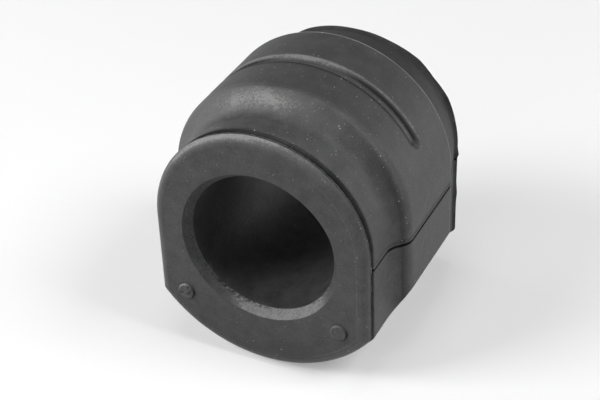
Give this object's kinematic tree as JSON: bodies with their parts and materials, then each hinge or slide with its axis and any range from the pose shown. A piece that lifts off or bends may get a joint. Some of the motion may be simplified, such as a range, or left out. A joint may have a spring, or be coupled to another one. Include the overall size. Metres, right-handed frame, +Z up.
{
  "type": "anti-roll bar bush",
  "caption": "One-piece moulded rubber bush with a domed crown, end flanges and a flared through bore, held round an anti-roll bar by a strap bracket.",
  "frame": {"origin": "on the axis of the bore, halfway along it", "axes": "+Y along the bore, from the end with the groove to the tapered end; +Z up, from the arched sole to the domed crown; +X across"},
  "size_m": [0.0506, 0.0468, 0.0564],
  "materials": {
    "rubber": "semi-matt moulded black rubber with a light bloom of dust on its raised edges"
  },
  "bodies": {
    "root": {"rubber_bush": "rubber"}
  },
  "joints": []
}
